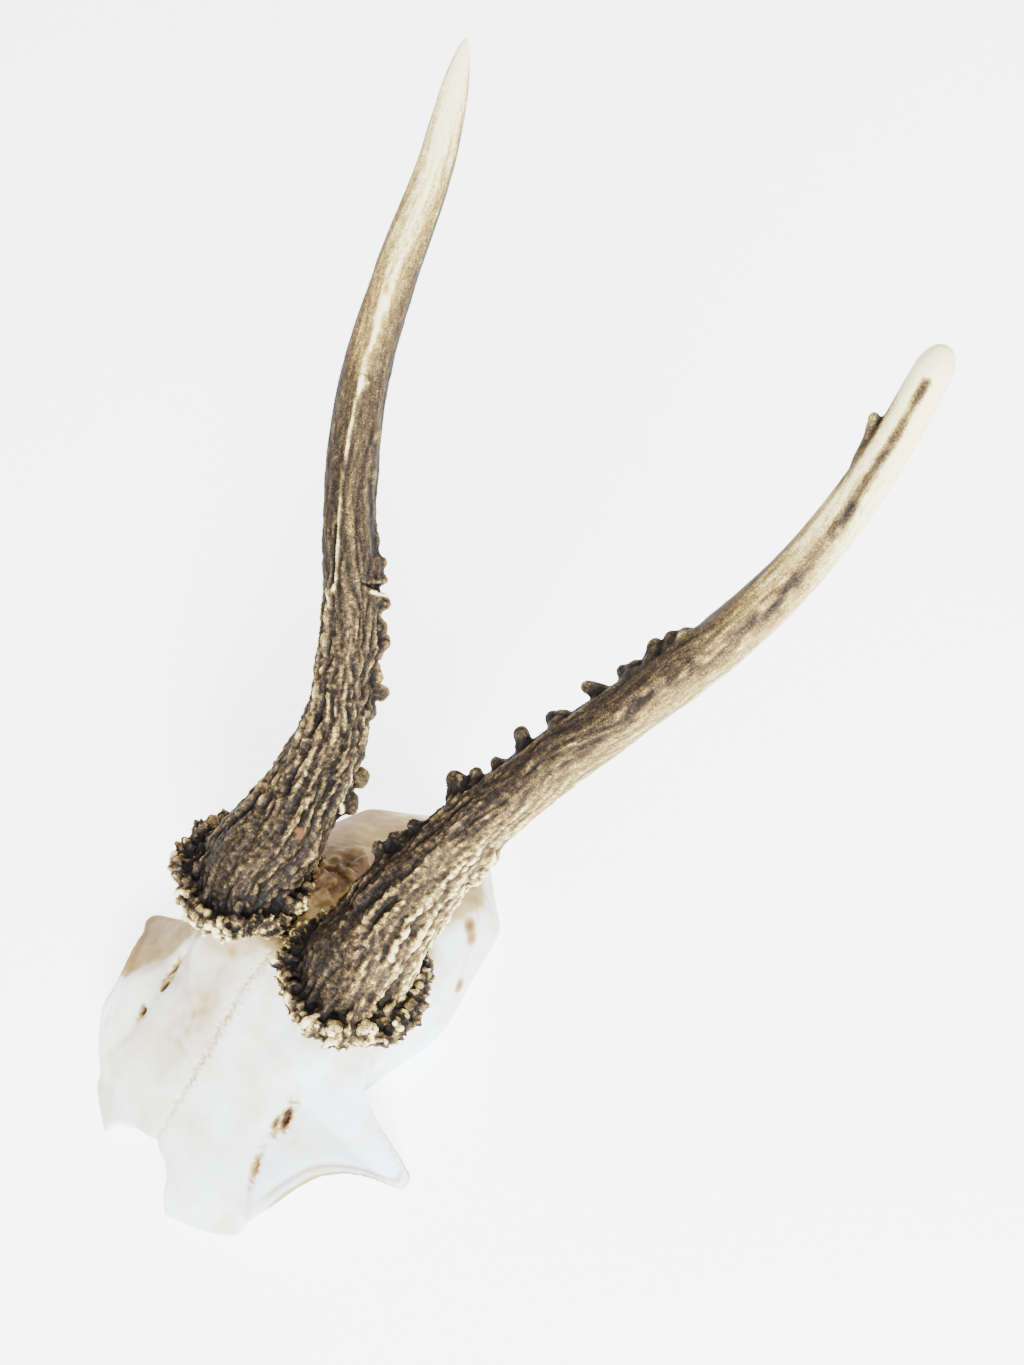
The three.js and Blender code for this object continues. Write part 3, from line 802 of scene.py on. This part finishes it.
def strand(bm, spec, beam, pick, angle):
    # a beaded ridge that comes down the beam and flares out over the burr to its rim
    drift = pick.uniform(-0.25, 0.25)
    top = pick.uniform(0.2, 0.38)
    shares = [top, top * 0.75, top * 0.5]
    points = [beamPoint(beam, s, angle + drift * (s / top), beam["width"](s) / 2 - 0.2) for s in shares]
    ends = ((0.62, 0.8), (0.7, 0.2), (0.78, -0.6))
    if pick.random() < burr["longStrands"]:
        ends = ((0.7, 0.9), (0.82, 0.1), (0.97, -0.4))
    points += [facePoint(spec, angle, s, lift) for s, lift in ends]
    path = splinePath(points, 12)
    size = pick.uniform(1.0, 1.7)
    side = Vector((0.3, 0.2, 0.9)).cross(path[-1] - path[0]).normalized()

    def place(even, turn):
        i = min(int(even * (len(path) - 1)), len(path) - 2)
        point = path[i].lerp(path[i + 1], even * (len(path) - 1) - i)
        ahead = (path[i + 1] - path[i]).normalized()
        across = (side - ahead * side.dot(ahead)).normalized()
        grow = 0.4 + 0.6 * smooth(0, 0.35, even)
        beading = 0.75 + 0.9 * abs(noise.noise(point * 0.45))
        reach = size * grow * beading * min(1, 9 * even, 9 * (1 - even)) ** 0.5
        return point + (across * math.cos(turn) + ahead.cross(across) * math.sin(turn)) * reach
    tube(bm, 9, 60, place)


def burrPearls(bm, spec, pick):
    side = spec["side"]
    centre, up = burrPoint(side, 0, 0, 0), burrPoint(side, 0, 0, 1) - burrPoint(side, 0, 0, 0)
    for height, reach, size in burr["rimRows"]:
        for i in range(burr["rimPearls"]):
            angle = (i + pick.uniform(-0.4, 0.4)) / burr["rimPearls"] * 2 * math.pi
            out = reach * burrReach(angle, side) * pick.uniform(0.95, 1.02)
            point = burrPoint(side, math.cos(angle) * burr["across"] * out,
                              math.sin(angle) * burr["deep"] * out, height + pick.uniform(-0.7, 0.7))
            wide = size * pick.uniform(0.6, 1.3)
            pearl(bm, point, point - centre, up + (point - centre) * pick.uniform(-0.02, 0.02),
                  wide * pick.uniform(1.2, 2.6), wide)
    for _ in range(burr["facePearls"]):
        angle = pick.gauss(0, 1.5)
        point = facePoint(spec, angle, math.sqrt(pick.uniform(0.34, 0.95)), pick.uniform(-0.5, 0.5))
        wide = pick.uniform(0.5, 1.15)
        pearl(bm, point, point - centre, up, wide * pick.uniform(1.2, 2.6), wide)


def lineAt(points, width, beam, share, angle):
    # how strongly a point lies on a line drawn on the antler
    best = 9
    radius = beam["width"](share) / 2
    for (s0, d0), (s1, d1) in zip(points, points[1:]):
        ax, ay = s0 * beam["length"], math.radians(d0)
        bx, by = s1 * beam["length"], math.radians(d1)
        turn = math.remainder(angle - ay, 2 * math.pi)
        px, py = share * beam["length"] - ax, turn * radius
        qx, qy = bx - ax, (by - ay) * radius
        t = min(max((px * qx + py * qy) / (qx * qx + qy * qy), 0), 1)
        best = min(best, math.hypot(px - t * qx, py - t * qy))
    return bell(best, width)


# Heights of the grain on an antler at its roughest, in millimetres, with drift in radians.
antlerGrain = {
    "drift": 0.22,
    "ridges": 0.55,
    "ribs": 0.2,
    "ribPatches": 0.3,
    "beads": 0.35,
    "lumps": 0.2,
    "crumbs": 0.24,
    "burrCrumbs": 0.2,
    "fine": 0.04,
    "roughFine": 0.08,
}


def antlerRelief(spec, beam, co, share, angle, reach):
    # height in millimetres and the point laid out along the grain
    radius = beam["width"](share) / 2
    flare = max(reach - radius, 0)
    along = share * beam["length"] - flare
    rough = beam["rough"](share)
    seed = 11 * spec["side"]
    drift = antlerGrain["drift"] * noise.noise(Vector((seed, 0, along * 0.05)))
    c, s = math.cos(angle + drift), math.sin(angle + drift)
    wide = 1 + 0.05 * flare
    coarse = billow(c * 2.3 * wide + seed, s * 2.3 * wide, along * 0.05)
    medium = billow(c * 4.6 * wide, s * 4.6 * wide + seed, along * 0.12)
    beads = billow(c * 5.5 * wide, s * 5.5 * wide - seed, along * 0.3)
    patch = smooth(-0.25, 0.3, noise.noise(Vector((c * 1.5, s * 1.5 + seed, along * 0.06))))
    lumps = billow(co.x * 0.42, co.y * 0.42 + seed, co.z * 0.42)
    crumbs = noise.noise(co * 1.25) + 0.5 * noise.noise(co * 2.6)
    fine = noise.noise(Vector((c * 14, s * 14, along * 0.3)))
    low = 1 - smooth(0.3, 0.5, share)
    calm = 1 - 0.3 * smooth(4, 8, flare)
    ribs = antlerGrain["ribs"] + antlerGrain["ribPatches"] * patch
    pearling = antlerGrain["beads"] * beads * patch * low
    height = rough * calm * (antlerGrain["ridges"] * coarse + ribs * medium + pearling)
    crumble = antlerGrain["crumbs"] + antlerGrain["burrCrumbs"] * smooth(2, 7, flare)
    height += rough * (antlerGrain["lumps"] * lumps * (0.3 + 0.7 * low) + crumble * crumbs)
    height += (antlerGrain["fine"] + antlerGrain["roughFine"] * rough) * fine
    return height, Vector((c * radius, s * radius, along))


def toneAt(beam, share, angle):
    tones = beam["tones"]
    degrees = math.degrees(angle)
    while degrees < tones[0][0]:
        degrees += 360
    i = max(k for k in range(len(tones)) if tones[k][0] <= degrees)
    ahead = tones[i + 1][0] if i + 1 < len(tones) else tones[0][0] + 360
    t = smooth(0, 1, (degrees - tones[i][0]) / (ahead - tones[i][0]))
    here = tones[i][1](share)
    return here + (tones[(i + 1) % len(tones)][1](share) - here) * t


def burrTone(spec, co, tone):
    # the dish of a burr is dark and pitted, and its rim is pale on the side of the face
    side = spec["side"]
    offset = co - burrPoint(side, 0, 0, 0)
    b = (burrPoint(side, 0, 1, 0) - burrPoint(side, 0, 0, 0)).dot(offset)
    c = (burrPoint(side, 0, 0, 1) - burrPoint(side, 0, 0, 0)).dot(offset)
    far = math.hypot(offset.x / burr["across"], b / burr["deep"])
    inside = smooth(9, 5, c)
    pits = smooth(-0.35, 0.25, noise.noise(co * 0.35))
    tone -= inside * bell(far - 0.75, 0.17) * (burr["dishDark"] + burr["pitDark"] * pits)
    rim = inside * smooth(0.8, 0.97, far)
    front = min(max(0.5 + 0.5 * b / burr["deep"], 0), 1)
    pale = burr["rimTone"] + (spec["rimPale"] - burr["rimTone"]) * smooth(0.35, 1, front)
    pale += burr["rimMottle"] * noise.noise(co * 0.36)
    return tone + (pale - tone) * 0.85 * rim


def knobPegs(bm, spec, beam, pick):
    for share, degrees, height, width in spec["knobs"]:
        radius = beam["width"](share) / 2
        angle = math.radians(degrees)
        lean = pick.uniform(-0.012, 0.012)
        root = beamPoint(beam, share, angle, radius - width * 0.4)
        tip = beamPoint(beam, share + lean, angle, radius + height - width * 0.48)
        peg(bm, root, tip, width * pick.uniform(0.7, 0.95), width * pick.uniform(0.44, 0.56))
    spur = spec["spur"]
    if spur:
        radius = beam["width"](spur["at"]) / 2
        angle = math.radians(spur["angle"])
        along = stationAt(beam, spur["at"])[1]
        peg(bm, beamPoint(beam, spur["at"], angle, radius - spur["width"] * 0.45),
            beamPoint(beam, spur["at"], angle, radius + spur["width"] * 0.28) + along * spur["length"],
            spur["width"] / 2, spur["width"] / 4)


def carveAntler(bm, spec, beam):
    toneLayer = bm.verts.layers.float.new("tone")
    rustLayer = bm.verts.layers.float.new("rust")
    reliefLayer = bm.verts.layers.float.new("relief")
    flowLayer = bm.verts.layers.float_vector.new("flow")
    flake = spec["flake"]
    if flake:
        radius = beam["width"](flake["share"]) / 2
        chip = beamPoint(beam, flake["share"], math.radians(flake["angle"]), radius)
    moves = []
    for vert in bm.verts:
        share, angle, reach = flowAt(beam, vert.co)
        height, flow = antlerRelief(spec, beam, vert.co, share, angle, reach)
        tone = toneAt(beam, share, angle)
        for points, width, rise, shade, breaks in spec["lines"]:
            on = lineAt(points, width, beam, share, angle)
            if on > 0.01:
                place = Vector((flow.x * 0.5, flow.y * 0.5, flow.z * 0.22))
                broken = 1 + breaks * 2 * noise.noise(place)
                height += rise * on * min(max(broken, 0.2), 1)
                tone += shade * on * min(max(broken, 0), 1.4)
        vert[toneLayer] = burrTone(spec, vert.co, tone) if share < 0.12 else tone
        if flake:
            far = (vert.co - chip).length + flake["ragged"] * noise.noise(vert.co * 0.9)
            vert[rustLayer] = 1 - smooth(0.75, 1, far / flake["size"])
        vert[flowLayer] = flow
        moves.append((vert, vert.normal * height))
    for vert, move in moves:
        vert.co += move
    storeRelief(bm, reliefLayer, 0.35)


def buildAntler(name, spec):
    beam = beamStations(spec)
    pick = random.Random(20 + spec["side"])
    body, pearls, ridges, knobs = (bmesh.new() for _ in range(4))
    beamBody(body, spec, beam)
    burrBody(body, spec["side"])
    burrPearls(pearls, spec, pick)
    for i in range(burr["strands"]):
        strand(ridges, spec, beam, pick, (i + pick.uniform(-0.3, 0.3)) / burr["strands"] * 2 * math.pi)
    knobPegs(knobs, spec, beam, pick)
    made = joined(name, [body, pearls, ridges, knobs])
    remesh(made, antlerVoxel)
    bm = bmesh.new()
    bm.from_mesh(made.data)
    relax(bm, bm.verts[:], 1)
    bm.normal_update()
    carveAntler(bm, spec, beam)
    bm.to_mesh(made.data)
    bm.free()
    return made


# Materials

def addNode(tree, kind, settings=None, **inputs):
    made = tree.nodes.new(kind)
    for key, value in (settings or {}).items():
        setattr(made, key, value)
    for key, value in inputs.items():
        socket = made.inputs[int(key[1:]) if key[0] == "i" and key[1:].isdigit() else key]
        if isinstance(value, bpy.types.NodeSocket):
            tree.links.new(value, socket)
        else:
            socket.default_value = value
    return made


def ramp(tree, factor, stops):
    made = addNode(tree, "ShaderNodeValToRGB", Fac=factor)
    while len(made.color_ramp.elements) < len(stops):
        made.color_ramp.elements.new(0.5)
    for element, (place, colour) in zip(made.color_ramp.elements, stops):
        element.position = place
        element.color = (*colour, 1)
    return made.outputs["Color"]


def math2(tree, operation, a, b, clamp=False):
    made = addNode(tree, "ShaderNodeMath", {"operation": operation, "use_clamp": clamp}, i0=a, i1=b)
    return made.outputs[0]


def mapped(tree, value, fromLow, fromHigh, toLow, toHigh):
    made = addNode(tree, "ShaderNodeMapRange", Value=value, i1=fromLow, i2=fromHigh, i3=toLow, i4=toHigh)
    return made.outputs[0]


def attribute(tree, name, output="Fac"):
    return addNode(tree, "ShaderNodeAttribute", {"attribute_name": name}).outputs[output]


def stretched(tree, vector, scale):
    return addNode(tree, "ShaderNodeMapping", Vector=vector, Scale=scale).outputs[0]


def noiseValue(tree, vector, scale, detail=4, roughness=0.55):
    made = addNode(tree, "ShaderNodeTexNoise", Vector=vector, Scale=scale, Detail=detail, Roughness=roughness)
    return made.outputs[0]


def mixColour(tree, factor, a, b, blend="MIX"):
    made = addNode(tree, "ShaderNodeMix", {"data_type": "RGBA", "blend_type": blend}, i0=factor, i6=a, i7=b)
    return made.outputs[2]


def addBump(tree, shader, bump, height):
    # bump is its strength and its depth in metres
    strength, depth = bump
    made = addNode(tree, "ShaderNodeBump", Strength=strength, Distance=depth, Height=height)
    tree.links.new(made.outputs[0], shader.inputs["Normal"])


def newMaterial(name):
    made = bpy.data.materials.new(name)
    made.use_nodes = True
    return made, made.node_tree, made.node_tree.nodes["Principled BSDF"]


antlerFinish = {
    # colour by lightness, black to ivory
    "stops": [[0.0, (0.0034, 0.0021, 0.0013)], [0.18, (0.012, 0.0072, 0.0038)],
              [0.36, (0.029, 0.018, 0.0105)], [0.52, (0.066, 0.042, 0.0185)],
              [0.68, (0.145, 0.094, 0.033)], [0.84, (0.40, 0.28, 0.082)], [1.0, (0.88, 0.78, 0.42)]],
    "rust": (0.06, 0.018, 0.006),
    "rustPale": (0.2, 0.075, 0.026),
    "streak": 0.5,
    "blotch": 0.4,
    "grain": 1.3,
    "specks": 0.9,
    "relief": 0.4,
    "calmTip": [[0.3, 1.0], [0.95, 0.22]],  # how much of it shows, from a dark to a pale part
    "roughness": [0.45, 0.75],
    "gloss": 0.12,
    "bump": [0.5, 0.00015],
}


def antlerMaterial():
    made, tree, shader = newMaterial("pearledAntler")
    flow = attribute(tree, "flow", "Vector")
    tone, relief = attribute(tree, "tone"), attribute(tree, "relief")
    objectCoords = addNode(tree, "ShaderNodeTexCoord").outputs["Object"]
    streak = noiseValue(tree, stretched(tree, flow, (1, 1, 0.09)), 1.6, 5, 0.7)
    blotch = noiseValue(tree, stretched(tree, flow, (1, 1, 0.3)), 0.4, 4, 0.6)
    grain = noiseValue(tree, objectCoords, 2600, 3, 0.7)
    specks = noiseValue(tree, stretched(tree, flow, (1, 1, 0.4)), 1.1, 4, 0.75)
    (fromTone, most), (toTone, least) = antlerFinish["calmTip"]
    shown = mapped(tree, tone, fromTone, toTone, most, least)
    flecks = 0.0
    for value, key in ((streak, "streak"), (blotch, "blotch"), (grain, "grain"), (specks, "specks")):
        part = math2(tree, "MULTIPLY", math2(tree, "SUBTRACT", value, 0.5), antlerFinish[key])
        flecks = math2(tree, "ADD", flecks, part)
    total = math2(tree, "ADD", tone, math2(tree, "MULTIPLY", flecks, shown))
    total = math2(tree, "ADD", total, math2(tree, "MULTIPLY", relief, antlerFinish["relief"]), True)
    rust = mixColour(tree, grain, (*antlerFinish["rust"], 1), (*antlerFinish["rustPale"], 1))
    colour = mixColour(tree, attribute(tree, "rust"), ramp(tree, total, antlerFinish["stops"]), rust)
    tree.links.new(colour, shader.inputs["Base Color"])
    rough = mapped(tree, grain, 0, 1, *antlerFinish["roughness"])
    tree.links.new(rough, shader.inputs["Roughness"])
    shader.inputs["Specular IOR Level"].default_value = antlerFinish["gloss"]
    addBump(tree, shader, antlerFinish["bump"], math2(tree, "ADD", streak, grain))
    return made


boneFinish = {
    "white": (0.86, 0.86, 0.80),
    "coolLitWhite": (0.70, 0.80, 0.92),
    "cream": (0.66, 0.55, 0.33),
    # colour by stain and painted shade, from a faint tint to the brown of a vessel's opening
    "stainAndShadeColours": [[0, (0.62, 0.50, 0.29)], [0.12, (0.42, 0.30, 0.12)], [0.25, (0.27, 0.175, 0.062)],
               [0.5, (0.14, 0.078, 0.026)], [0.75, (0.07, 0.032, 0.012)], [1, (0.03, 0.014, 0.007)]],
    "fullAt": 0.12,
    # painted light: the cooler, bluish white stands in for cool light falling from the animal's left; it
    # comes in across the cap, in metres towards the animal's left
    "sides": [-0.01, 0.04],
    "mostCoolLight": 0.8,
    "roughness": 0.6,
    "gloss": 0.25,
    "bump": [0.35, 0.00012],
}


def boneMaterial():
    made, tree, shader = newMaterial("boiledBone")
    objectCoords = addNode(tree, "ShaderNodeTexCoord").outputs["Object"]
    # the stain attribute holds real stains and painted shade: behind the left crest, on the back and the
    # shadow line in the orbit rims
    stain = attribute(tree, "stain")
    mottle = noiseValue(tree, objectCoords, 90, 5)
    pores = noiseValue(tree, stretched(tree, objectCoords, (1, 0.4, 1)), 1400, 3)
    # painted light: the bone's white turns to a cool, lit blue towards the animal's left
    across = addNode(tree, "ShaderNodeSeparateXYZ", Vector=objectCoords).outputs[0]
    coolLightShare = mapped(tree, across, *boneFinish["sides"], 0, boneFinish["mostCoolLight"])
    whiteAndCoolLight = mixColour(tree, coolLightShare, (*boneFinish["white"], 1), (*boneFinish["coolLitWhite"], 1))
    colour = mixColour(tree, ramp(tree, mottle, [[0.42, (0, 0, 0)], [0.8, (1, 1, 1)]]),
                       whiteAndCoolLight, (*boneFinish["cream"], 1))
    amount = mapped(tree, stain, 0, boneFinish["fullAt"], 0, 1)
    colour = mixColour(tree, amount, colour, ramp(tree, stain, boneFinish["stainAndShadeColours"]))
    tree.links.new(colour, shader.inputs["Base Color"])
    shader.inputs["Roughness"].default_value = boneFinish["roughness"]
    shader.inputs["Specular IOR Level"].default_value = boneFinish["gloss"]
    addBump(tree, shader, boneFinish["bump"], pores)
    return made


# Camera, light and floor

view = {
    "place": (158.03, 2.77, 391.48),
    "right": (0.71753, 0.67844, -0.15767),
    "down": (0.56183, -0.69755, -0.44472),
    "forward": (-0.4117, 0.23052, -0.88168),
    "focal": 1414.27,  # in pixels of the 1365 pixel high frame
    "tall": 1365,
}
sensor = 36

cameraData = bpy.data.cameras.new("camera")
cameraData.sensor_width = sensor
cameraData.sensor_fit = "AUTO"
cameraData.lens = view["focal"] / view["tall"] * sensor
cameraData.clip_start = 0.01
camera = bpy.data.objects.new("camera", cameraData)
bpy.context.scene.collection.objects.link(camera)
axes = Matrix((Vector(view["right"]), -Vector(view["down"]), -Vector(view["forward"]))).transposed()
camera.matrix_world = Matrix.Translation(skullPlace + Vector(view["place"]) * millimetre) @ axes.to_4x4()
bpy.context.scene.camera = camera

lights = {
    "key": {"place": (0.75, -0.5, 0.6), "size": 0.45, "power": 52, "colour": (0.86, 0.94, 1)},
    "fill": {"place": (-0.6, -0.5, 0.6), "size": 0.7, "power": 4, "colour": (1, 0.92, 0.8)},
    "top": {"place": (0.1, 0.5, 0.9), "size": 0.8, "power": 13, "colour": (1, 0.98, 0.94)},
}
aim = Vector((0, -0.02, 0.06))
for name, spec in lights.items():
    data = bpy.data.lights.new(name, "AREA")
    data.size = spec["size"]
    data.energy = spec["power"]
    data.color = spec["colour"]
    light = bpy.data.objects.new(name, data)
    light.location = spec["place"]
    light.rotation_euler = (aim - Vector(spec["place"])).to_track_quat("-Z", "Y").to_euler()
    bpy.context.scene.collection.objects.link(light)

world = bpy.context.scene.world or bpy.data.worlds.new("studio")
bpy.context.scene.world = world
world.use_nodes = True
backdrop = world.node_tree.nodes["Background"]
backdrop.inputs["Color"].default_value = (0.93, 0.96, 1, 1)
backdrop.inputs["Strength"].default_value = 1.0

bm = bmesh.new()
bmesh.ops.create_grid(bm, x_segments=1, y_segments=1, size=2.5)
floor = newObject("floor", bm)
floorMaterial, _, floorShader = newMaterial("paleFloor")
floorShader.inputs["Base Color"].default_value = (0.92, 0.92, 0.92, 1)
floorShader.inputs["Roughness"].default_value = 0.8
floorShader.inputs["Emission Color"].default_value = (1, 1, 1, 1)
floorShader.inputs["Emission Strength"].default_value = 3
floor.data.materials.append(floorMaterial)
print("camera, lights and floor are set")

finishPiece(buildSkull(), "skull_cap", boneMaterial())
antlerSurface = antlerMaterial()
for nodeName, spec in antlers.items():
    name = "antlerLeft" if spec["side"] > 0 else "antlerRight"
    finishPiece(buildAntler(name, spec), nodeName, antlerSurface)
